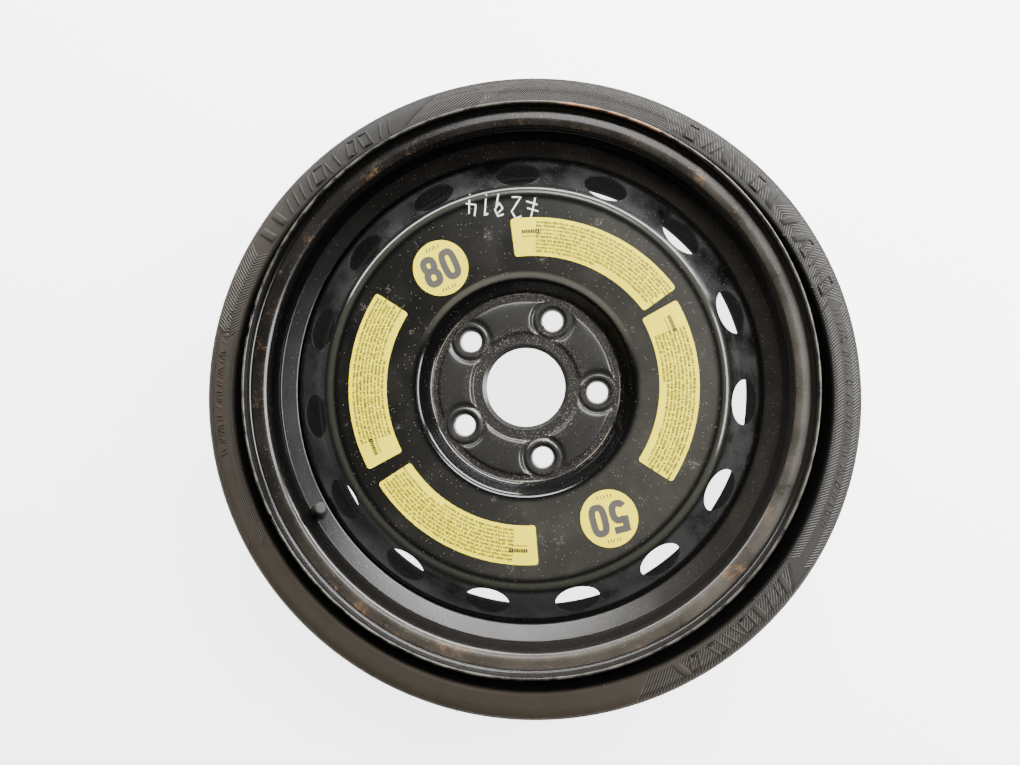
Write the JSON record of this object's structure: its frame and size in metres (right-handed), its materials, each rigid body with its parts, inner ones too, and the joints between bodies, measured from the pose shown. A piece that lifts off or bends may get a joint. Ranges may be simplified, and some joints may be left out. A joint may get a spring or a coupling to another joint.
{
  "type": "spare wheel",
  "caption": "Collapsible spare car wheel: a pressed steel disc welded into a drop-centre rim, with ball-seat bolt holes, oval hand holes and a folded, deflated tyre.",
  "frame": {"origin": "centre of the hub mounting face, on the wheel's axis", "axes": "+Z along the wheel's axis towards its outboard face, +X through the first bolt hole"},
  "size_m": [0.5759, 0.5758, 0.192],
  "materials": {
    "tyre_rubber": "matte, dusty",
    "rim_paint": "satin black, dusty",
    "disc_paint": "semi-gloss black, speckled with dust and rust",
    "weld_paint": "satin black over weld beads",
    "valve_rubber": "matte",
    "valve_brass": "plain brass",
    "core_steel": "plated",
    "gasket_plastic": "smooth",
    "cap_plastic": "ribbed black plastic",
    "label_film": "printed yellow film"
  },
  "bodies": {
    "wheel": {"tyre": "tyre_rubber", "rim_barrel": "rim_paint", "wheel_disc": "disc_paint", "disc_welds": "weld_paint", "valve_body": "valve_rubber", "valve_stem": "valve_brass", "core_plug": "valve_brass", "core_sleeve": "valve_brass", "core_gasket": "gasket_plastic", "core_spring": "core_steel", "info_label_1": "label_film", "info_label_2": "label_film", "info_label_3": "label_film", "info_label_4": "label_film", "speed_label_80": "label_film", "speed_label_50": "label_film"},
    "valve_pin": {"core_pin": "core_steel", "core_cup": "valve_brass", "core_seal": "valve_rubber"},
    "cap_seat": {"cap_seal": "valve_rubber"},
    "cap": {"valve_cap": "cap_plastic"}
  },
  "joints": [
    {"name": "core_press", "type": "slide", "parent": "wheel", "child": "valve_pin", "axis": [-0.3332, -0.2333, -0.9135], "range_m": [0, 0.0012], "stiffness_N_per_m": 400, "springref_m": -0.002, "deforming": ["core_spring"]},
    {"name": "cap_lift", "type": "slide", "parent": "wheel", "child": "cap_seat", "axis": [0.3332, 0.2333, 0.9135], "range_m": [0, 0.00397]},
    {"name": "cap_turn", "type": "hinge", "parent": "cap_seat", "child": "cap", "pos_m": [-0.17456, -0.12223, 0.02156], "axis": [0.3332, 0.2333, 0.9135], "range_deg": [0, 1800]}
  ],
  "couplings": [
    {"joint": "cap_turn", "follows": "cap_lift", "rad_per_m": 7915.8}
  ]
}
